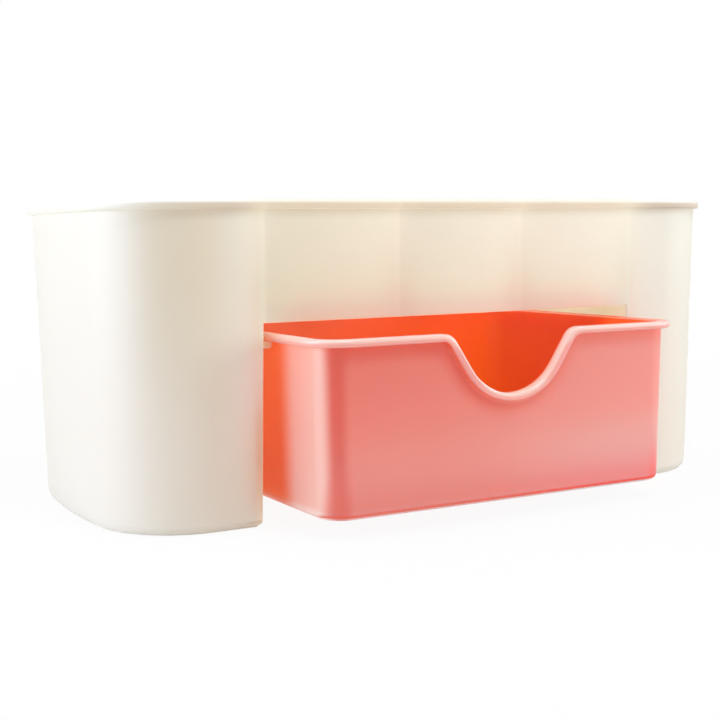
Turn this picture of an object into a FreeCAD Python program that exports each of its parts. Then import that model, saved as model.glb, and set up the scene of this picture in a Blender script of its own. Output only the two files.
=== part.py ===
"""Nail polish organizer: a moulded housing and the drawer that slides under its tray.

Two end towers stand the full height and take tall bottles. Between them hangs a tray with
three compartments, and the tunnel under the tray takes the drawer, which hangs by its flange
on a rail along each tower. Lengths are in millimetres and +Z is up. X runs along the front.
The shapes are drawn about the middle of the housing, on the table, and moved at the end so
that the origin lies under the middle of the whole object with the drawer standing out.
"""
import FreeCAD, Part
import math
import os

Vec = FreeCAD.Vector

# housing, overall
body_length = 223.5        # end to end over the walls, at the rim
body_depth = 103.0         # front to back over the walls, at the rim
body_height = 94.0
corner_radius = 27.7       # plan radius where the front and back turn into an end
end_radius = 194.0         # shallow bulge of each end
draft = math.radians(1.06)   # of every wall of the housing
wall = 1.7
foot_radius = 3.0          # rounding round the underside of each tower

# bead round the rim
bead_reach = 1.6           # past the wall
bead_height = 3.0
bead_crown = 1.3           # rounding of its upper edge
bead_lip = 0.7             # rounding of its lower edge
mouth_rounding = 0.6       # rounding of every compartment's mouth

# tunnel under the tray
tunnel_width = 131.5       # between the towers, at the ceiling
tunnel_height = 58.95      # ceiling above the table
tunnel_edge = 0.9          # rounding of the opening's front edge
back_wall_lift = 5.0       # back wall's lower edge above the table
back_wall_edge = 0.5       # bevel of that edge

# compartments
tower_floor = 2.0
tray_floor = 1.8
tray_count = 3
divider = 1.6              # at its top
pocket_corner = 6.0        # upright corners of the compartments, at the rim
pocket_fillet = 2.4        # where their floors turn up into the walls

# rails that carry the drawer
rail_height = 1.7
rail_setback = 4.0         # rail's front end behind the housing's front
rail_round = 1.0           # rounding of the rail's lower free edge
rail_side_gap = 0.8        # rail to the drawer's wall
running_gap = 0.3          # rail to the underside of the drawer's flange

# drawer
drawer_headroom = 3.4      # ceiling to the top of the flange
drawer_lift = 5.5          # drawer's underside above the table
drawer_side_gap = 2.4      # tower to the edge of the flange
drawer_back_gap = 0.6      # back wall to the flange when the drawer is shut
drawer_wall = 1.6
drawer_floor = 1.8
drawer_draft = math.radians(0.93)
drawer_corner = 8.2        # plan radius of the drawer's wall at the flange
drawer_foot = 2.0          # rounding round the underside
drawer_fillet = 3.0        # inside, where the floor turns up into the walls
flange_reach = 2.55        # past the drawer's wall
flange_height = 2.05
flange_crown = 0.8         # rounding of the flange's upper edge
flange_lip = 0.5           # bevel of its lower edge
flange_inner = 0.45        # rounding of the mouth's inner edge
pull_out = 30.0            # how far the drawer stands out of the housing

# finger notch in the drawer's front
notch_depth = 18.2
notch_radius = 17.5        # round the bottom
notch_lean = math.radians(33.0)
notch_shoulder = 5.0       # where each side turns into the flange

round_steps = 3            # flats that make up the larger roundings
edge_steps = 2             # flats that make up the small ones
cut_clear = 2.0            # how far cutting tools reach past the faces that they cut
near = 1e-4                # what counts as lying on a line or a face


def on_circle(centre, radius, angle, z):
    """Point at the given plan angle on a level circle."""
    x, y = centre
    return Vec(x + radius * math.cos(angle), y + radius * math.sin(angle), z)


def level_arc(centre, radius, start, end, z):
    """Level arc from one plan angle to another."""
    angles = (start, (start + end) / 2, end)
    return Part.Arc(*[on_circle(centre, radius, angle, z) for angle in angles]).toShape()


def closed_wire(arcs):
    """Closed wire through the arcs in order, with straight edges between their ends."""
    edges = []
    for arc, following in zip(arcs, arcs[1:] + arcs[:1]):
        edges.append(arc)
        start, end = arc.Vertexes[-1].Point, following.Vertexes[0].Point
        if start.distanceToPoint(end) > near:
            edges.append(Part.makeLine(start, end))
    return Part.Wire(edges)


def quarter_steps(radius, steps):
    """Rise and inset of the points that step round a quarter circle, from a level upwards."""
    angles = [math.pi / 2 * i / steps for i in range(steps + 1)]
    return [(radius * (1 - math.cos(a)), radius * (1 - math.sin(a))) for a in angles]


def stacked(plan, levels):
    """Solid through plan(inset, z) at each level, given as (z, inset)."""
    return Part.makeLoft([plan(inset, z) for z, inset in levels], True, True)


def hollow(plan, floor, fillet, top, rounding):
    """Space from a floor that turns up into its walls to a mouth with a rounded edge."""
    levels = [(floor + rise, inset) for rise, inset in quarter_steps(fillet, round_steps)]
    mouth = quarter_steps(rounding, edge_steps)
    levels += [(top - rise, -inset) for rise, inset in reversed(mouth)]
    return stacked(plan, levels + [(top + cut_clear, -rounding)])


def edges_where(shape, test):
    """Edges whose ends and middle all pass the test."""
    chosen = []
    for edge in shape.Edges:
        middle = edge.valueAt((edge.FirstParameter + edge.LastParameter) / 2)
        if all(test(point) for point in [middle] + [v.Point for v in edge.Vertexes]):
            chosen.append(edge)
    return chosen


def level_edges(shape, z):
    """Edges that lie in one level."""
    return edges_where(shape, lambda p: abs(p.z - z) < near)


# Sizes that follow from the ones above
tray_bottom = tunnel_height + tray_floor
flange_top = tunnel_height - drawer_headroom
flange_bottom = flange_top - flange_height
rail_top = flange_bottom - running_gap


def shrink(z):
    """How far the housing's outer wall stands inside its line at the rim."""
    return (body_height - z) * math.tan(draft)


def front_y(z):
    """Distance of the housing's front and back from its middle."""
    return body_depth / 2 - shrink(z)


def tunnel_side(z):
    """Distance of the tunnel's sides from the middle: they spread towards the table."""
    return tunnel_width / 2 + shrink(z) - shrink(tunnel_height)


flange_front = -front_y(flange_top) - pull_out


def end_centres(z):
    """Centres of the right-hand end's back corner and of its bulge."""
    bulge_x = body_length / 2 - shrink(z) - end_radius
    corner_y = front_y(z) - corner_radius
    corner_x = bulge_x + math.sqrt((end_radius - corner_radius) ** 2 - corner_y ** 2)
    return (corner_x, corner_y), (bulge_x, 0.0)


def end_arcs(inset, z, start=math.pi / 2):
    """The three arcs round the right-hand end, inside its outer wall, from a plan angle on."""
    (corner_x, corner_y), bulge = end_centres(z)
    turn = math.atan2(corner_y, corner_x - bulge[0])
    radius = corner_radius - inset
    return [
        level_arc((corner_x, -corner_y), radius, -start, -turn, z),
        level_arc(bulge, end_radius - inset, -turn, turn, z),
        level_arc((corner_x, corner_y), radius, turn, start, z),
    ]


def body_plan(inset, z):
    """Plan of the housing at a level, inside its outer wall."""
    right = end_arcs(inset, z)
    left = [arc.rotated(Vec(), Vec(0, 0, 1), 180) for arc in right]
    return closed_wire(right + left)


def box_plan(left, right, front, back, radius, z):
    """Level rectangle with round corners."""
    places = [
        ((left + radius, front + radius), math.pi),
        ((right - radius, front + radius), 1.5 * math.pi),
        ((right - radius, back - radius), 0.0),
        ((left + radius, back - radius), 0.5 * math.pi),
    ]
    quarter = math.pi / 2
    return closed_wire([level_arc(at, radius, a, a + quarter, z) for at, a in places])


def tower_plan(inset, z):
    """Plan of the right-hand tower's compartment, inside its walls."""
    corner_x, corner_y = end_centres(z)[0]
    side = tunnel_side(z) + wall + pocket_corner
    swing = corner_radius - wall - pocket_corner
    start = math.acos(max(0.0, side - corner_x) / swing)
    reach = corner_y + swing * math.sin(start)
    radius = pocket_corner - inset
    back = level_arc((side, reach), radius, start, math.pi, z)
    front = level_arc((side, -reach), radius, math.pi, 2 * math.pi - start, z)
    return closed_wire([back, front] + end_arcs(wall + inset, z, start))


def tray_plan(index):
    """Plan of one compartment of the tray, counted from the left."""
    tray = 2 * tunnel_side(body_height)
    mouth = (tray - (tray_count - 1) * divider) / tray_count
    left = index * (mouth + divider) - tray / 2

    def plan(inset, z):
        narrow = shrink(z) + inset
        reach = front_y(z) - wall - inset
        return box_plan(left + narrow, left + mouth - narrow, -reach, reach,
                        pocket_corner - inset, z)

    return plan


def compartments():
    """What is hollowed out of the towers and the tray."""
    right = hollow(tower_plan, tower_floor, pocket_fillet, body_height, mouth_rounding)
    left = right.rotated(Vec(), Vec(0, 0, 1), 180)
    trays = [hollow(tray_plan(i), tray_bottom, pocket_fillet, body_height, mouth_rounding)
             for i in range(tray_count)]
    return [left, right] + trays


def tunnel_space():
    """The tunnel, open at the front, the back and the table."""
    past = body_depth / 2 + bead_reach + cut_clear
    corners = [(side * tunnel_side(z), z) for side, z in
               ((-1, tunnel_height), (1, tunnel_height), (1, -cut_clear), (-1, -cut_clear))]
    outline = Part.makePolygon([Vec(x, -past, z) for x, z in corners + corners[:1]])
    return Part.Face(outline).extrude(Vec(0, 2 * past, 0))


def foot_steps():
    """Levels that round the underside, run on a little past the wall at their top."""
    levels = quarter_steps(foot_radius, round_steps)
    (low_z, low_inset), (high_z, high_inset) = levels[-2:]
    return levels[:-1] + [(2 * high_z - low_z, 2 * high_inset - low_inset)]


def outer_foot_trim():
    """What rounds the underside along the outer walls."""
    levels = foot_steps()
    reach_x, reach_y = body_length / 2 + cut_clear, body_depth / 2 + cut_clear
    slab = Part.makeBox(2 * reach_x, 2 * reach_y, levels[-1][0] + cut_clear,
                        Vec(-reach_x, -reach_y, -cut_clear))
    kept = stacked(body_plan, levels)
    above = Part.makeBox(2 * reach_x, 2 * reach_y, cut_clear,
                         Vec(-reach_x, -reach_y, levels[-1][0]))
    return slab.cut([kept, above])


def inner_foot_trim(side):
    """What rounds the underside along one tower's tunnel wall; side is -1 or 1."""
    past = body_depth / 2 + cut_clear
    steps = [(tunnel_side(z) + inset, z) for z, inset in foot_steps()]
    below = [(steps[0][0], -cut_clear), (steps[-1][0], -cut_clear)]
    corners = [(side * x, z) for x, z in steps + below[::-1]]
    outline = Part.makePolygon([Vec(x, -past, z) for x, z in corners + corners[:1]])
    return Part.Face(outline).extrude(Vec(0, 2 * past, 0))


def back_wall():
    """Wall that closes the tunnel at the back, flush with the towers."""
    def plan(z):
        side = tunnel_side(z) + wall / 2
        outer, inner = front_y(z), front_y(z) - wall
        corners = [Vec(-side, inner, z), Vec(side, inner, z), Vec(side, outer, z),
                   Vec(-side, outer, z)]
        return Part.makePolygon(corners + corners[:1])

    plate = Part.makeLoft([plan(back_wall_lift), plan(tray_bottom)], True, True)
    long_edges = [e for e in level_edges(plate, back_wall_lift) if e.Length > tunnel_width]
    return plate.makeChamfer(back_wall_edge, long_edges)


def drawer_shrink(z):
    """How far the drawer's walls stand inside their line at the flange."""
    return (flange_top - z) * math.tan(drawer_draft)


def drawer_side(z):
    """Distance of the drawer's outer side walls from the middle."""
    return tunnel_side(flange_top) - drawer_side_gap - flange_reach - drawer_shrink(z)


def rail(side):
    """Rib along one tower that the drawer's flange runs on; side is -1 or 1."""
    inner = drawer_side(rail_top) + rail_side_gap
    outer = tunnel_side(rail_top) + wall / 2
    front = rail_setback - front_y(rail_top)
    length = front_y(rail_top) - wall / 2 - front
    bottom = rail_top - rail_height
    rib = Part.makeBox(outer - inner, length, rail_height, Vec(inner, front, bottom))
    lower = edges_where(rib, lambda p: abs(p.x - inner) < near and abs(p.z - bottom) < near)
    rib = rib.makeFillet(rail_round, lower)
    return rib if side > 0 else rib.mirror(Vec(), Vec(1, 0, 0))


def bead_plan(inset, z):
    """Plan of the bead at a level, inside its outermost line."""
    right = [arc.translated(Vec(0, 0, z - body_height))
             for arc in end_arcs(inset - bead_reach, body_height)]
    return closed_wire(right + [arc.rotated(Vec(), Vec(0, 0, 1), 180) for arc in right])


def bead():
    """Bead round the rim, solid across the housing so that it caps the body."""
    low = body_height - bead_height
    levels = [(low + rise, inset) for rise, inset in quarter_steps(bead_lip, edge_steps)]
    crown = quarter_steps(bead_crown, round_steps)
    levels += [(body_height - rise, inset) for rise, inset in reversed(crown)]
    return stacked(bead_plan, levels)


def opening_edges(body):
    """Edges of the tunnel's mouth in the housing's front, down to the feet."""
    def on_mouth(p):
        return (abs(p.y + front_y(p.z)) < near and p.z < tunnel_height + near
                and abs(p.x) < tunnel_side(p.z) + near)

    return [e for e in edges_where(body, on_mouth) if e.BoundBox.ZMax > near]


def housing():
    """Towers, tray, dividers, back wall, bead and rails, in one moulding."""
    body = stacked(body_plan, [(0.0, 0.0), (body_height, 0.0)]).cut(tunnel_space())
    body = body.makeFillet(tunnel_edge, opening_edges(body))
    body = body.cut([outer_foot_trim(), inner_foot_trim(-1), inner_foot_trim(1)])
    body = body.fuse([bead(), back_wall()]).removeSplitter()
    body = body.cut(compartments())
    return body.fuse([rail(-1), rail(1)]).removeSplitter()


def drawer_plan(inset, z):
    """Plan of the drawer at a level, inside its outer wall."""
    shut_back = front_y(flange_top) - wall - drawer_back_gap
    narrow = drawer_shrink(z) + inset
    side = drawer_side(flange_top) - narrow
    front = flange_front + flange_reach + narrow
    back = shut_back - pull_out - flange_reach - narrow
    return box_plan(-side, side, front, back, drawer_corner - inset, z)


def flange_plan():
    """Plan of the flange."""
    return drawer_plan(-flange_reach, flange_top)


def upright_arc(centre, radius, start, end, y):
    """Arc in an upright plane along the front, by angles from +X towards +Z."""
    points = []
    for angle in (start, (start + end) / 2, end):
        points.append(Vec(centre[0] + radius * math.cos(angle), y,
                          centre[1] + radius * math.sin(angle)))
    return Part.Arc(*points).toShape()


def notch_outline(offset, top):
    """Finger notch in the plane of the flange's front, grown by an offset, closed at top."""
    bottom = (0.0, flange_top - notch_depth + notch_radius)
    rise = flange_top - bottom[1] + notch_radius * math.sin(notch_lean)
    side = notch_radius * math.cos(notch_lean) + rise * math.tan(notch_lean)
    shoulder_x = side + notch_shoulder * math.tan((math.pi / 2 - notch_lean) / 2)
    shoulder_z = flange_top - notch_shoulder
    y = flange_front
    turn = notch_shoulder - offset
    left = upright_arc((-shoulder_x, shoulder_z), turn, math.pi / 2, notch_lean, y)
    round_bottom = upright_arc(bottom, notch_radius + offset, math.pi + notch_lean,
                               2 * math.pi - notch_lean, y)
    right = upright_arc((shoulder_x, shoulder_z), turn, math.pi - notch_lean, math.pi / 2, y)
    lid = Part.makeLine(Vec(shoulder_x, y, top), Vec(-shoulder_x, y, top))
    return closed_wire([left, round_bottom, right, lid])


def notch_space():
    """What the finger notch takes out of the drawer's front."""
    outline = notch_outline(0.0, flange_top + cut_clear)
    space = Part.Face(outline).extrude(Vec(0, flange_reach + drawer_wall + 3 * cut_clear, 0))
    space.translate(Vec(0, -cut_clear, 0))
    return space


def flange():
    """Flange round the drawer, with the lip that carries it down through the notch."""
    plate = Part.Face(flange_plan()).extrude(Vec(0, 0, -flange_height))
    lip = Part.Face(notch_outline(flange_height, flange_top))
    lip = lip.extrude(Vec(0, flange_reach + drawer_wall, 0))
    ring = plate.fuse(lip).removeSplitter().cut(notch_space())
    upper = notch_outline(0.0, flange_top + cut_clear)
    lower = notch_outline(flange_height, flange_top)

    def on_rim(p, level, line):
        skin = flange_plan().distToShape(Part.Vertex(p.x, p.y, flange_top))[0] < near
        return skin and (abs(p.z - level) < near or line.distToShape(Part.Vertex(p))[0] < near)

    crown = edges_where(ring, lambda p: on_rim(p, flange_top, upper))
    ring = ring.makeFillet(flange_crown, crown)
    under = edges_where(ring, lambda p: on_rim(p, flange_bottom, lower))
    return ring.makeChamfer(flange_lip, under)


def drawer():
    """Drawer, with its flange and finger notch, standing out of the housing."""
    levels = [(drawer_lift + rise, inset)
              for rise, inset in quarter_steps(drawer_foot, round_steps)]
    tub = stacked(drawer_plan, levels + [(flange_top, 0.0)])

    def inside_plan(inset, z):
        return drawer_plan(inset + drawer_wall, z)

    inside = hollow(inside_plan, drawer_lift + drawer_floor, drawer_fillet, flange_top,
                    flange_inner)
    return tub.cut(notch_space()).fuse(flange()).removeSplitter().cut(inside)


def main():
    """Write one file for each piece, with the origin under the whole object's middle."""
    back = body_depth / 2 + bead_reach
    middle = Vec(0, -(back + flange_front) / 2, 0)
    os.makedirs("parts", exist_ok=True)
    for name, piece in (("housing", housing()), ("drawer", drawer())):
        piece.translate(middle)
        piece.exportStep("parts/" + name + ".step")
        box = piece.BoundBox
        print(name, len(piece.Solids), "solid", piece.isValid(), round(piece.Volume), "mm3",
              [round(v, 2) for v in (box.XMin, box.YMin, box.ZMin, box.XMax, box.YMax, box.ZMax)])


if __name__ == "__main__":
    main()
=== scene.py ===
"""Nail polish organizer: the looks of its cream housing and of the coral drawer in it."""
import math

import bpy
from mathutils import Matrix, Vector


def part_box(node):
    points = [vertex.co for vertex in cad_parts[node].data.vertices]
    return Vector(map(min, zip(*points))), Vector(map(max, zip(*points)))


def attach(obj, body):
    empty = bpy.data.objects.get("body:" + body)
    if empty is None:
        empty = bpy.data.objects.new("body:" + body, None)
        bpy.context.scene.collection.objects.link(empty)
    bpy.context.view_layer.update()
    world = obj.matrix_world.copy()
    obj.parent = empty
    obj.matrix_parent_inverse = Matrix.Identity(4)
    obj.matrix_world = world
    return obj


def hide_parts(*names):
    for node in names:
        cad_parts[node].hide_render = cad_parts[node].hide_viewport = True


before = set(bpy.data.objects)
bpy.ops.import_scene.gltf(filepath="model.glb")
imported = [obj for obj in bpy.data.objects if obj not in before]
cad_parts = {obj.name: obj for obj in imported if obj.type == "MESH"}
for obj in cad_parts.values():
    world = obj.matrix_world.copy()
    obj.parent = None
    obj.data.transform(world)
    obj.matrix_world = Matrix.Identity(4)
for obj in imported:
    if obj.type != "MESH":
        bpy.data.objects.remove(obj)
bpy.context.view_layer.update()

# Lengths are in metres. A pair of places is the two ends of a smooth step.
# X runs along the front, Y from the front towards the back, and Z up.

# camera, fitted to the outlines in the photograph
HOUSING_MIDDLE = 0.01384429
CAMERA_AT = (-0.21373, -0.37670 + HOUSING_MIDDLE, 0.08320)
CAMERA_TURN = math.radians(28.74)
CAMERA_DIP = math.radians(5.62)
CAMERA_ROLL = math.radians(-0.785)
CAMERA_LENS = 63.38             # millimetres
SENSOR_WIDTH = 36.0             # millimetres
HALF_PIXEL = 0.5 / 720.0        # share of the picture's width

# housing: its planes, and the regions that let more or less light through
HALF_LENGTH = 0.112
BEAD_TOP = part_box("housing")[1][2]
BEAD_REACH = 0.0016
BACK_DRAFT = 0.0185             # slope of the back wall
FRONT = -0.0372                 # front wall above the tunnel
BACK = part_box("housing")[1][1] - BEAD_REACH
FRONT_SKIN = (FRONT + 0.0004, FRONT + 0.0009)
FRONT_LINING = (FRONT + 0.003, FRONT + 0.005)
BACK_SKIN = (0.0004, 0.0010)
BACK_SKIN_TUNNEL = 0.55         # how much of the tunnel's look the back's skin has
TUNNEL_HEIGHT = (0.0638, 0.0644)    # takes in the tray's floors
TUNNEL_SIDE = (0.0684, 0.0690)
TRAY_END = (0.0668, 0.0674)
TRAY_HEIGHT = (0.0652, 0.0660)      # foot of the tray's walls
EDGE_HEIGHT = (0.0630, 0.0660)
TOWER = (0.064, 0.076)
JAMB_INNER = (0.064, 0.066)
JAMB_OUTER = (0.069, 0.080)
JAMB_HEIGHT = (0.042, 0.062)
GLOW_HEIGHT = (0.064, 0.086)
TURN_LEFT = (-0.104, -0.095)
TURN_RIGHT = (-0.084, -0.072)
TURN_HEIGHT = (0.02, 0.08)
COOL_TURNS = (0.0, 0.03)
BEAD_STARTS = (-0.100, -0.060)
CROWN = (0.0008, 0.0016)

# housing: share of the light that comes through the wall, and what each region adds
CREAM_SHARES = {"wall": 0.56, "tower": -0.26, "tunnel": 0.30, "lining": -0.20, "tray": -0.42,
                "edge": -0.12, "jamb": -0.21, "crown": -0.15, "low": 0.10}

# housing: cream colours along the wall, with painted light and shade: lighter and darker along it
# as the light falls, palest at the left end, and a painted step in tone behind each divider, where
# the tone rises to a bright strip at the divider and then steps back into shade
CREAMS_WITH_PAINTED_LIGHT = ((-0.112, (0.94, 0.92, 0.89)), (-0.103, (0.93, 0.90, 0.86)),
          (-0.092, (0.93, 0.88, 0.81)), (-0.083, (0.94, 0.89, 0.81)),
          (-0.070, (0.94, 0.90, 0.82)), (-0.064, (0.91, 0.875, 0.80)),
          (0.0, (0.94, 0.94, 0.885)), (0.06, (0.95, 0.945, 0.925)),
          (0.075, (0.95, 0.93, 0.87)), (0.112, (0.92, 0.89, 0.82)))
DIVIDERS = ((-0.0651, 0.845), (-0.02115, 0.85), (0.02279, 0.895), (0.0669, 0.96))
BEFORE_STRIP = 0.965
STRIP = (0.0018, 0.0015)        # before the step
HALF_STEP = 0.0001
WHITE = (1.0, 1.0, 1.0, 1.0)
# painted tone: cooler low on the front wall, to hold back the pink light from the drawer there
COOL_LEFT = (0.93, 1.06, 1.08, 1.0)
COOL_RIGHT = (0.88, 1.06, 1.08, 1.0)
TURN_SHADE = (0.93, 0.885, 0.81, 1.0)
# painted highlight along the bead's crown
CROWN_HIGHLIGHT = (1.0, 0.995, 0.985, 1.0)
UNSHADED_BEAD = (0.98, 0.97, 0.95, 1.0)
CREAM_LIGHT = (1.0, 0.98, 0.87, 1.0)

# housing: painted light and shade down the bead and under it, by depth in millimetres: a painted
# highlight on its crown, painted shade down its side, a lighter line at its foot and a painted
# shadow below it
BEAD_SHADE_DEPTH = 0.006
BEAD_TONES = ((0.0, (1.0, 1.0, 1.0)), (0.7, (1.0, 1.0, 1.0)), (1.15, (0.84, 0.76, 0.68)),
              (1.6, (0.69, 0.565, 0.475)), (1.95, (0.65, 0.525, 0.435)),
              (2.15, (0.72, 0.585, 0.51)), (2.5, (0.72, 0.585, 0.52)),
              (2.75, (0.625, 0.50, 0.43)), (3.0, (0.63, 0.505, 0.435)),
              (3.3, (0.80, 0.73, 0.69)), (4.0, (0.92, 0.89, 0.87)), (5.0, (1.0, 1.0, 1.0)))

# drawer: its planes and the finger notch
TUB_HALF_LENGTH = 0.0597
TUB_HALF_DEPTH = 0.0463
TUB_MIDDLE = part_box("drawer")[0][1] * 0.5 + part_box("drawer")[1][1] * 0.5
TUB_CORNER = 0.0074
FLANGE_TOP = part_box("drawer")[1][2]
FLANGE_FOOT = FLANGE_TOP - 0.0021
FRONT_OF_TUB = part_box("drawer")[0][1]
WALL_FRONT = FRONT_OF_TUB + 0.00255
NOTCH_RADIUS = 0.0175
NOTCH_MIDDLE = FLANGE_TOP - 0.0182 + NOTCH_RADIUS
NOTCH_LEAN = math.radians(33.0)
NOTCH_BLEND = 0.004             # how softly the lip turns down into the notch
NOTCH_END = (FRONT_OF_TUB + 0.005, FRONT_OF_TUB + 0.007)
FAR_AWAY = 0.1                  # no notch behind the front

# drawer: regions of its front
RIGHTWARD = (-0.060, 0.060)
LOWER = (0.008, FLANGE_FOOT)
AWAY_FROM_LIP = (0.0021, 0.0085)
NEAR_LIP = (0.0024, 0.0036)
LEFT_OF_NOTCH = -0.016
LEFT_OF_NOTCH_FADES = (0.010, 0.022)
LIMB_HEIGHT = (FLANGE_TOP - 0.017, FLANGE_TOP - 0.012)
LIMB_UNDER_FLANGE = (FLANGE_FOOT - 0.004, FLANGE_FOOT - 0.001)
LIMB_DEPTH = (0.0, 0.0004)
LIMB_SHIFT = 0.0012             # the limbs of the lip start deeper in its tones
LEFT_LIMB_SIDE = (-0.004, 0.0)
LEFT_LIMB_UNDER_FLANGE = (FLANGE_FOOT - 0.003, FLANGE_FOOT - 0.001)
LEFT_LIMB_DEPTH = (0.0002, 0.0010)
LEFT_LIMB_CLEARS = 0.6          # how much less it counts as rim

# drawer: regions of its corners, sides and inside
FACING = (FRONT_OF_TUB + 0.03, FRONT_OF_TUB + 0.04)
BESIDE_TURN = (-0.0012, 0.0050)
SHADED_TURN = (-0.0072, -0.0030)
SHADED_SIDE = (-0.02, 0.02)
SHADED_LESS_LOW = 0.35
SIDE_PALER = (FRONT_OF_TUB + 0.008, FRONT_OF_TUB + 0.024)
BEHIND = (FRONT_OF_TUB + 0.022, FRONT_OF_TUB + 0.034)
INNER_SKIN = (-0.0003, 0.0003)
ABOVE_FLOOR = (0.0062, 0.0066)
BRIGHT_SIDE = (-0.03, 0.05)
FOOT_HEIGHT = (0.006, 0.034)
FOOT_LESS_BESIDE = 0.75
FILLET_HEIGHT = (0.0066, 0.0094)
SIDE_HEIGHT = (0.014, 0.034)

# drawer: regions of the flange and the lip
PROUD = (0.00135, 0.0018)
RIM_EDGE = (0.0003, 0.0006)
RIM_THINS = (0.0010, 0.0016)
RIM_LEFT = 0.3                  # share of rim left where it has thinned
TOP_DEPTH = (0.0008, 0.0012)

# drawer: how much painted light lightens the front (a painted reflection growing to the right,
# painted light from below, less painted shade away from the lip and more beside the notch), and
# what share of the light comes through the wall
PAINTED_LIGHT = {"wall": 0.0, "right": 0.36, "low": 0.31, "low_right": -0.14, "away": 0.245,
         "away_by_notch": 0.12, "by_notch": -0.15, "near_lip": 0.35}
CORAL_SHARES = {"wall": 0.5, "fillet": -0.22, "inside": 0.25, "inside_bright": 0.07,
                "rim": -0.22, "foot": -0.10, "foot_bright": -0.20, "behind": 0.18,
                "behind_bright": 0.25, "beside_bright": 0.34}
WALL_ROUGHNESS = 0.29
RIM_ROUGHNESS = 0.2
CORAL_COAT = 0.8
SHADED_COAT_LESS = 0.6

# drawer: how far the lip in the notch stands back, and between which places
LIP_EASED = 0.001
LIP_CUTS = (-0.0243, -0.0208, 0.0208, 0.0243)
LIP_END = 0.0242
LIP_RUN = 0.0034

# drawer: colours of painted light and shade on the coral, and the light through its wall
DEEP_CORAL = (0.67, 0.12, 0.11, 1.0)
LIT_FOOT_CORAL = (0.80, 0.15, 0.11, 1.0)
SHADED_CORAL = (0.64, 0.15, 0.14, 1.0)
LIMB_CORAL = (0.96, 0.46, 0.42, 1.0)
PALEST_LEFT = (1.0, 0.78, 0.69, 1.0)
PALEST_RIGHT = (0.84, 0.79, 0.72, 1.0)
SIDE_HIGHLIGHT_BACK = (1.0, 0.86, 0.78, 1.0)
SIDE_HIGHLIGHT_FRONT = (1.0, 0.97, 0.83, 1.0)
TUNNEL_SHADE_ORANGE = (0.90, 0.28, 0.11, 1.0)
INSIDE_LEFT = (0.76, 0.42, 0.42, 1.0)
INSIDE_RIGHT = (1.0, 0.12, 0.26, 1.0)
TOP_LEFT_TONE = (1.0, 0.93, 0.89, 1.0)
CORAL_LIGHT = (1.0, 0.35, 0.068, 1.0)

# drawer: painted highlights and shade down the flange and the lip, by depth in millimetres: pale
# along the top, a darker band, a lighter line along the lower edge, then shade
LIP_DEPTH = 0.0024
LIP_TONES = ((0.0, (1.0, 0.88, 0.81)), (0.3, (1.0, 0.89, 0.83)), (0.8, (1.0, 0.84, 0.76)),
             (1.1, (1.0, 0.66, 0.56)), (1.4, (1.0, 0.46, 0.40)), (1.65, (1.0, 0.63, 0.56)),
             (1.95, (1.0, 0.46, 0.40)), (2.3, (0.97, 0.48, 0.47)))

# lamps: name, place, point that they face, size, power and colour
LAMPS = (
    ("left_window", (-1.267, 0.292, 0.420), (0.0, 0.0, 0.42), (1.1, 0.8), 15.40,
     (0.792, 0.870, 1.000)),
    ("right_window", (1.126, -0.650, 0.400), (0.0, 0.0, 0.40), (0.9, 0.8), 7.80,
     (0.949, 1.000, 1.000)),
    ("high_front", (0.120, -0.678, 1.152), (0.0, 0.0, 0.05), (0.3, 0.3), 5.60,
     (1.000, 1.000, 1.000)),
    ("high_left", (-0.701, 0.255, 1.115), (0.0, 0.0, 0.05), (0.8, 0.8), 1.20,
     (1.000, 1.000, 1.000)),
    ("back_light", (-0.145, 0.823, 1.046), (0.0, 0.0, 0.05), (0.8, 0.8), 1.50,
     (1.000, 1.000, 1.000)),
    ("overhead", (0.0, 0.0, 1.350), (0.0, 0.0, 0.05), (0.9, 0.9), 7.00,
     (1.000, 1.000, 1.000)),
)
WORLD_STRENGTH = 0.150
FLOOR_SIZE = 12.0
FLOOR_GREY = (0.8, 0.8, 0.8, 1.0)
FLOOR_WHITE_FROM = (0.2, 0.6)   # distance from the object's middle
FLOOR_WHITE = 0.93              # share of plain white near the object, where it keeps a shadow

# meshes
MERGE = 1e-6
FLAT = math.radians(0.1)
SHARP = math.radians(50)


class Value:
    """A socket of a node tree, for writing its maths as plain expressions."""

    def __init__(self, nodes, socket):
        self.nodes = nodes
        self.socket = socket

    def beside(self, name):
        """Another output of the same node."""
        return Value(self.nodes, self.socket.node.outputs[name])

    def maths(self, operation, *terms):
        """Put one maths node on the terms."""
        settings = {"operation": operation}
        return self.nodes.node("ShaderNodeMath", settings, dict(enumerate(terms)))

    def __add__(self, other):
        return self.maths("ADD", self, other)

    def __radd__(self, other):
        return self.maths("ADD", other, self)

    def __sub__(self, other):
        return self.maths("SUBTRACT", self, other)

    def __rsub__(self, other):
        return self.maths("SUBTRACT", other, self)

    def __mul__(self, other):
        return self.maths("MULTIPLY", self, other)

    def __rmul__(self, other):
        return self.maths("MULTIPLY", other, self)

    def __abs__(self):
        return self.maths("ABSOLUTE", self)

    def most(self, other):
        """The larger of the value and another."""
        return self.maths("MAXIMUM", self, other)

    def least(self, other):
        """The smaller of the value and another."""
        return self.maths("MINIMUM", self, other)

    def root(self):
        """Square root."""
        return self.maths("SQRT", self)


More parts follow.
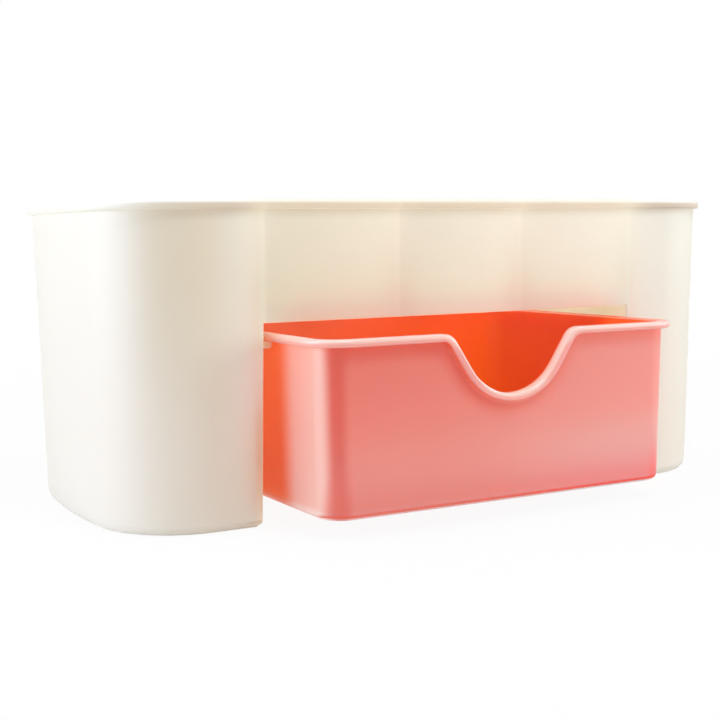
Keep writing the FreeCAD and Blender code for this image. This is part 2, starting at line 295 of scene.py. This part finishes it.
class Nodes:
    """The node tree of a new material or world, filled by plain calls."""

    def __init__(self, owner):
        owner.use_nodes = True
        self.owner = owner
        self.tree = owner.node_tree
        self.tree.nodes.clear()

    def node(self, kind, settings=None, inputs=None, output=0):
        """Add one node, set it up, feed its inputs and give back one of its outputs."""
        made = self.tree.nodes.new(kind)
        for name, setting in (settings or {}).items():
            if name == "stops":
                self.set_stops(made.color_ramp, setting)
            else:
                setattr(made, name, setting)
        for name, given in (inputs or {}).items():
            if isinstance(given, Value):
                self.tree.links.new(given.socket, made.inputs[name])
            else:
                made.inputs[name].default_value = given
        return Value(self, made.outputs[output])

    def set_stops(self, ramp, stops):
        """Give a colour ramp its stops, as (place, colour)."""
        while len(ramp.elements) < len(stops):
            ramp.elements.new(1.0)
        for element, (place, colour) in zip(ramp.elements, stops):
            element.position = place
            element.color = colour

    def smooth(self, value, low, high, start, end):
        """Go smoothly from start to end as a value goes from low to high."""
        settings = {"interpolation_type": "SMOOTHSTEP"}
        return self.node("ShaderNodeMapRange", settings,
                         {0: value, 1: low, 2: high, 3: start, 4: end})

    def rise(self, value, low, high):
        """Go smoothly from 0 to 1 as a value goes from low to high."""
        return self.smooth(value, low, high, 0.0, 1.0)

    def fall(self, value, low, high):
        """Go smoothly from 1 to 0 as a value goes from low to high."""
        return self.smooth(value, low, high, 1.0, 0.0)

    def blend(self, share, first, second):
        """Mix two colours by a share of the second."""
        return self.node("ShaderNodeMix", {"data_type": "RGBA"}, {0: share, 6: first, 7: second},
                         output=2)

    def ramp(self, value, stops):
        """Colour from a ramp's stops."""
        return self.node("ShaderNodeValToRGB", {"stops": stops}, {0: value})

    def tint(self, colour, tone):
        """Multiply one colour by another."""
        settings = {"data_type": "RGBA", "blend_type": "MULTIPLY"}
        return self.node("ShaderNodeMix", settings, {0: 1.0, 6: colour, 7: tone}, output=2)

    def place(self):
        """Object coordinates, as one value."""
        return self.node("ShaderNodeTexCoord", output="Object")

    def places(self):
        """Object coordinates along, across and up."""
        along = self.node("ShaderNodeSeparateXYZ", None, {0: self.place()}, "X")
        return along, along.beside("Y"), along.beside("Z")

    def backdrop_ray(self):
        """1 on rays that show the backdrop: seen by the camera, mirrored or let through."""
        seen = self.node("ShaderNodeLightPath", output="Is Camera Ray")
        return seen.most(seen.beside("Is Glossy Ray")).most(seen.beside("Is Transmission Ray"))

    def surface(self, kind, shader):
        """Put a shader on a new output of a kind and give back the material or world."""
        output = self.tree.nodes.new(kind)
        self.tree.links.new(shader.socket, output.inputs["Surface"])
        return self.owner


def between(table, place):
    """Colour or tone between the two places of a table next to a place."""
    for (low, first), (high, second) in zip(table, table[1:]):
        if low <= place <= high:
            share = (place - low) / (high - low)
            return [a + (b - a) * share for a, b in zip(first, second)]
    return list(table[-1][1])


def wall_stops():
    """Cream of the wall along the object, with painted light and shade: it brightens up to each
    divider, then steps back into shade.
    """
    tones = [(-HALF_LENGTH, (1.0,))]
    for place, after in DIVIDERS:
        tones += [(place - STRIP[0], (BEFORE_STRIP,)), (place - STRIP[1], (1.0,)),
                  (place - HALF_STEP, (1.0,)), (place + HALF_STEP, (after,))]
    tones.append((HALF_LENGTH, (1.0,)))
    stops = []
    for place in sorted(set(place for place, _ in CREAMS_WITH_PAINTED_LIGHT + tuple(tones))):
        tone = between(tones, place)[0]
        colour = [value * tone for value in between(CREAMS_WITH_PAINTED_LIGHT, place)]
        stops.append(((place / HALF_LENGTH + 1.0) / 2.0, tuple(colour) + (1.0,)))
    return stops


def depth_stops(table, reach):
    """Stops of a ramp that takes a depth in shares of its reach."""
    return [(depth / (reach * 1000.0), colour + (1.0,)) for depth, colour in table]


def weighted(weights, regions):
    """The plain wall's weight, plus each region times its own."""
    total = weights["wall"]
    for name, region in regions.items():
        total = region * weights[name] + total
    return total


def moulded_plastic(nodes, colour, through, share, roughness, shine, coat, coat_roughness):
    """Satin moulded plastic that lets some light through its walls."""
    grain = nodes.node("ShaderNodeTexNoise", None,
                       {"Vector": nodes.place(), "Scale": 900.0, "Detail": 2.0})
    bump = nodes.node("ShaderNodeBump", None, {"Strength": 0.03, "Distance": 0.0004,
                                               "Height": grain})
    skin = nodes.node("ShaderNodeBsdfPrincipled", None, {
        "Base Color": colour, "Roughness": roughness, "Normal": bump, "IOR": 1.49,
        "Specular IOR Level": shine, "Coat Weight": coat, "Coat Roughness": coat_roughness,
        "Sheen Weight": 0.7, "Sheen Roughness": 0.5})
    glow = nodes.node("ShaderNodeBsdfTranslucent", None, {"Color": through})
    shader = nodes.node("ShaderNodeMixShader", None, {0: share, 1: skin, 2: glow})
    return nodes.surface("ShaderNodeOutputMaterial", shader)


def cream_plastic():
    """Satin cream polypropylene: each divider shows through as a painted step of light and shade,
    and the bead has a painted highlight, shade and shadow.
    """
    nodes = Nodes(bpy.data.materials.new("cream_plastic"))
    along, across, up = nodes.places()
    side = abs(along)
    depth = BEAD_TOP - up

    # regions
    middle = nodes.fall(side, *TRAY_END)
    skin = nodes.fall(across, *FRONT_SKIN)
    low = nodes.fall(up, *GLOW_HEIGHT) * middle * skin
    # painted shade on the left tower where it turns towards the front, stronger higher up
    turn = (nodes.rise(up, *TURN_HEIGHT) * nodes.rise(along, *TURN_LEFT)
            * nodes.fall(along, *TURN_RIGHT))
    crown = nodes.fall(depth, *CROWN)
    tower = nodes.rise(side, *TOWER)
    from_back = BACK - across - depth * BACK_DRAFT
    tunnel = (nodes.fall(up, *TUNNEL_HEIGHT) * nodes.fall(side, *TUNNEL_SIDE) * (1.0 - skin)
              * nodes.smooth(from_back, *BACK_SKIN, BACK_SKIN_TUNNEL, 1.0))
    lining = nodes.fall(across, *FRONT_LINING) * (1.0 - skin) * (1.0 - tunnel) * middle
    tray = (nodes.fall(up, *TRAY_HEIGHT) * middle * (1.0 - skin) * (1.0 - tunnel)
            * (1.0 - lining))
    edge = nodes.fall(up, *EDGE_HEIGHT) * skin * middle
    jamb = (nodes.fall(up, *JAMB_HEIGHT) * nodes.rise(side, *JAMB_INNER)
            * nodes.fall(side, *JAMB_OUTER) * skin)

    # colour, with painted light and shade
    walls = nodes.ramp(along * (0.5 / HALF_LENGTH) + 0.5, wall_stops())
    # painted tone: cooler at the foot of the front wall, against the drawer's pink light
    cool = nodes.blend(nodes.rise(along, *COOL_TURNS), COOL_LEFT, COOL_RIGHT)
    walls = nodes.tint(walls, nodes.blend(low, WHITE, cool))
    # painted shade where the left tower turns towards the front
    walls = nodes.tint(walls, nodes.blend(turn, WHITE, TURN_SHADE))
    # painted highlight along the bead's crown
    walls = nodes.blend(crown, walls, CROWN_HIGHLIGHT)
    # painted light and shade down the bead and a painted shadow under it, none at the left end
    bead = nodes.ramp(depth * (1.0 / BEAD_SHADE_DEPTH), depth_stops(BEAD_TONES, BEAD_SHADE_DEPTH))
    bead = nodes.blend(nodes.rise(along, *BEAD_STARTS), UNSHADED_BEAD, bead)

    share = weighted(CREAM_SHARES, {
        "tower": tower, "tunnel": tunnel, "lining": lining, "tray": tray, "edge": edge,
        "jamb": jamb, "crown": crown, "low": low})
    return moulded_plastic(nodes, nodes.tint(walls, bead), CREAM_LIGHT, share,
                           roughness=0.48, shine=0.8, coat=0.2, coat_roughness=0.5)


def lip_depth(nodes, along, across, up):
    """Distance down from the flange's top, or out from the notch's edge where that is nearer."""
    side = abs(along)
    height = up - NOTCH_MIDDLE
    off_line = side * math.cos(NOTCH_LEAN) - height * math.sin(NOTCH_LEAN)
    below = (side * math.sin(NOTCH_LEAN) + height * math.cos(NOTCH_LEAN)).least(0.0)
    notch = (off_line * off_line + below * below).root() - NOTCH_RADIUS
    behind = nodes.smooth(across, *NOTCH_END, 0.0, FAR_AWAY)
    return up.maths("SMOOTH_MIN", FLANGE_TOP - up, notch + behind, NOTCH_BLEND)


def coral_plastic():
    """Smooth coral polypropylene, clear orange inside, with painted light and shade: painted
    reflections and shade outside, lit and shaded tones inside, and painted highlights on the
    flange.
    """
    nodes = Nodes(bpy.data.materials.new("coral_plastic"))
    along, across, up = nodes.places()
    past_x = (abs(along) - (TUB_HALF_LENGTH - TUB_CORNER)).most(0.0)
    past_y = (abs(across - TUB_MIDDLE) - (TUB_HALF_DEPTH - TUB_CORNER)).most(0.0)
    out = (past_x * past_x + past_y * past_y).root() - TUB_CORNER
    turned = past_x - past_y
    depth = lip_depth(nodes, along, across, up)

    # regions
    rightward = nodes.rise(along, *RIGHTWARD)
    lower = nodes.fall(up, *LOWER)
    away = nodes.rise(depth, *AWAY_FROM_LIP)
    left_of_notch = nodes.fall(abs(along - LEFT_OF_NOTCH), *LEFT_OF_NOTCH_FADES)
    lifted = nodes.rise(up, *LIMB_HEIGHT)
    left_limb = (lifted * nodes.fall(along, *LEFT_LIMB_SIDE)
                 * nodes.fall(up, *LEFT_LIMB_UNDER_FLANGE))
    near_lip = nodes.fall(depth, *NEAR_LIP) * (1.0 - lifted + left_limb)
    facing = nodes.fall(across, *FACING)
    beside = nodes.rise(turned, *BESIDE_TURN) * facing
    shaded = (nodes.rise(turned, *SHADED_TURN) * facing * (1.0 - beside)
              * nodes.fall(along, *SHADED_SIDE))
    paler = nodes.fall(across, *SIDE_PALER)
    behind = nodes.rise(across, *BEHIND)
    inside = nodes.fall(out, *INNER_SKIN) * nodes.rise(up, *ABOVE_FLOOR)
    bright = nodes.rise(along, *BRIGHT_SIDE)

    # walls, outside and inside, with painted light and shade
    # painted light on the front: a painted reflection growing to the right, painted light from
    # below, and painted shade under the lip and beside the notch
    painted_light = weighted(PAINTED_LIGHT, {
        "right": rightward, "low": lower, "low_right": lower * rightward, "away": away,
        "away_by_notch": away * left_of_notch, "by_notch": left_of_notch,
        "near_lip": near_lip})
    # from the shaded coral by the lip, lighter low down, to the pale coral of the painted
    # reflection
    outside = nodes.blend(painted_light, nodes.blend(lower, DEEP_CORAL, LIT_FOOT_CORAL),
                          nodes.blend(rightward, PALEST_LEFT, PALEST_RIGHT))
    # painted shade: a darker band where the front turns into the left corner, weaker low down
    outside = nodes.blend(shaded * (1.0 - lower * SHADED_LESS_LOW), outside, SHADED_CORAL)
    # painted highlight on the sides near the front, paler towards the front
    outside = nodes.blend(beside, outside, nodes.blend(paler, SIDE_HIGHLIGHT_BACK, SIDE_HIGHLIGHT_FRONT))
    # painted shade: deep orange on the outside of the tub where it sits inside the housing
    outside = nodes.blend(behind, outside, TUNNEL_SHADE_ORANGE)
    # painted light and shade inside: paler on the left, deep red towards the right
    walls = nodes.blend(inside, outside, nodes.blend(bright, INSIDE_LEFT, INSIDE_RIGHT))

    # flange and lip, with painted highlights and shade
    proud = nodes.rise(out, *PROUD)
    rim = proud.most(nodes.fall(depth, *RIM_EDGE))
    limb = lifted * nodes.fall(up, *LIMB_UNDER_FLANGE) * nodes.rise(depth, *LIMB_DEPTH)
    # painted highlights and shade down the flange and the lip
    tone = nodes.ramp((depth + limb * LIMB_SHIFT) * (1.0 / LIP_DEPTH),
                      depth_stops(LIP_TONES, LIP_DEPTH))
    # the painted highlight is a little deeper near the top towards the left
    near_top = nodes.fall(depth, *TOP_DEPTH) * (1.0 - rightward)
    tone = nodes.tint(tone, nodes.blend(near_top, WHITE, TOP_LEFT_TONE))
    far_limb = left_limb * nodes.rise(depth, *LEFT_LIMB_DEPTH)
    # the outer side of the left limb painted in a lighter coral over its shade
    colour = nodes.blend(rim, walls, nodes.blend(far_limb, tone, LIMB_CORAL))
    rim = (rim * nodes.smooth(depth, *RIM_THINS, 1.0, RIM_LEFT)
           * (1.0 - far_limb * LEFT_LIMB_CLEARS))

    # light through the walls
    outer = 1.0 - inside
    foot = (nodes.fall(up, *FOOT_HEIGHT) * outer
            * (1.0 - beside.most(behind) * FOOT_LESS_BESIDE))
    share = weighted(CORAL_SHARES, {
        "fillet": nodes.fall(up, *FILLET_HEIGHT) * outer, "inside": inside,
        "inside_bright": inside * bright, "rim": rim.most(proud), "foot": foot,
        "foot_bright": foot * bright, "behind": behind * outer,
        "behind_bright": behind * outer * bright,
        "beside_bright": beside * outer * bright * nodes.rise(up, *SIDE_HEIGHT)})
    return moulded_plastic(nodes, colour, CORAL_LIGHT, share,
                           roughness=nodes.smooth(rim, 0.0, 1.0, WALL_ROUGHNESS, RIM_ROUGHNESS),
                           shine=0.9, coat=CORAL_COAT - shaded * SHADED_COAT_LESS,
                           coat_roughness=0.3)


def only(piece):
    """Select one object and make it active."""
    bpy.ops.object.select_all(action="DESELECT")
    piece.select_set(True)
    bpy.context.view_layer.objects.active = piece


def ease_lip(piece):
    """Let the lip in the finger notch stand a little less proud than the flange beside it."""
    bpy.ops.object.mode_set(mode="EDIT")
    for place in LIP_CUTS:
        bpy.ops.mesh.select_all(action="SELECT")
        bpy.ops.mesh.bisect(plane_co=(place, 0.0, 0.0), plane_no=(1.0, 0.0, 0.0))
    bpy.ops.object.mode_set(mode="OBJECT")
    for vertex in piece.data.vertices:
        proud = (WALL_FRONT - vertex.co.y) / (WALL_FRONT - FRONT_OF_TUB)
        near = min(max((LIP_END - abs(vertex.co.x)) / LIP_RUN, 0.0), 1.0)
        if proud > 0.0:
            vertex.co.y += LIP_EASED * min(proud, 1.0) * near * near * (3.0 - 2.0 * near)


def moulding(node, name, material):
    """Smooth-shaded copy of a CAD node, with its loose triangles merged."""
    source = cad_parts[node]
    piece = bpy.data.objects.new(name, source.data.copy())
    bpy.context.scene.collection.objects.link(piece)
    piece.data.materials.clear()
    piece.data.materials.append(material)
    only(piece)
    bpy.ops.object.mode_set(mode="EDIT")
    bpy.ops.mesh.select_all(action="SELECT")
    bpy.ops.mesh.remove_doubles(threshold=MERGE)
    bpy.ops.mesh.customdata_custom_splitnormals_clear()
    bpy.ops.mesh.dissolve_limited(angle_limit=FLAT)
    bpy.ops.object.mode_set(mode="OBJECT")
    if node == "drawer":
        ease_lip(piece)
    bpy.ops.object.shade_smooth_by_angle(angle=SHARP)
    weighted = piece.modifiers.new("flat_faces_first", "WEIGHTED_NORMAL")
    weighted.keep_sharp = True
    bpy.ops.object.modifier_apply(modifier=weighted.name)
    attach(piece, node)
    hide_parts(node)


def floor():
    """Pale floor that keeps the object's shadow and looks white."""
    bpy.ops.object.select_all(action="DESELECT")
    bpy.ops.mesh.primitive_plane_add(size=FLOOR_SIZE, location=(0.0, 0.0, 0.0))
    piece = bpy.context.object
    piece.name = "floor"
    nodes = Nodes(bpy.data.materials.new("pale_floor"))
    along, across, _ = nodes.places()
    distance = (along * along + across * across).root()
    share = nodes.backdrop_ray() * nodes.smooth(distance, *FLOOR_WHITE_FROM, FLOOR_WHITE, 1.0)
    matt = nodes.node("ShaderNodeBsdfPrincipled", None,
                      {"Base Color": FLOOR_GREY, "Roughness": 1.0})
    white = nodes.node("ShaderNodeEmission", None, {"Color": WHITE, "Strength": 1.0})
    shader = nodes.node("ShaderNodeMixShader", None, {0: share, 1: matt, 2: white})
    piece.data.materials.append(nodes.surface("ShaderNodeOutputMaterial", shader))


def surroundings():
    """Even white light from all round, with a white backdrop."""
    nodes = Nodes(bpy.data.worlds.new("studio"))
    light, shown = [nodes.node("ShaderNodeBackground", None, {"Color": WHITE, "Strength": strength})
                    for strength in (WORLD_STRENGTH, 1.0)]
    shader = nodes.node("ShaderNodeMixShader", None,
                        {0: nodes.backdrop_ray(), 1: light, 2: shown})
    bpy.context.scene.world = nodes.surface("ShaderNodeOutputWorld", shader)


def camera():
    """Camera at the photograph's place."""
    data = bpy.data.cameras.new("camera")
    data.lens = CAMERA_LENS
    data.sensor_width = SENSOR_WIDTH
    data.sensor_fit = "HORIZONTAL"
    data.shift_x = -HALF_PIXEL
    data.shift_y = HALF_PIXEL
    data.clip_start = 0.01
    made = bpy.data.objects.new("camera", data)
    bpy.context.scene.collection.objects.link(made)
    turn = (Matrix.Rotation(-CAMERA_TURN, 4, "Z")
            @ Matrix.Rotation(math.pi / 2 - CAMERA_DIP, 4, "X")
            @ Matrix.Rotation(CAMERA_ROLL, 4, "Z"))
    made.matrix_world = Matrix.Translation(CAMERA_AT) @ turn
    bpy.context.scene.camera = made


def lamp(name, place, aim, size, power, colour):
    """Soft rectangular lamp that faces a point."""
    data = bpy.data.lights.new(name, "AREA")
    data.shape = "RECTANGLE"
    data.size, data.size_y = size
    data.energy = power
    data.color = colour
    made = bpy.data.objects.new(name, data)
    bpy.context.scene.collection.objects.link(made)
    made.location = place
    made.rotation_euler = (Vector(aim) - Vector(place)).to_track_quat("-Z", "Y").to_euler()


moulding("housing", "housing_shell", cream_plastic())
moulding("drawer", "drawer_tub", coral_plastic())
floor()
surroundings()
camera()
for settings in LAMPS:
    lamp(*settings)

bpy.context.scene.view_settings.view_transform = "Standard"
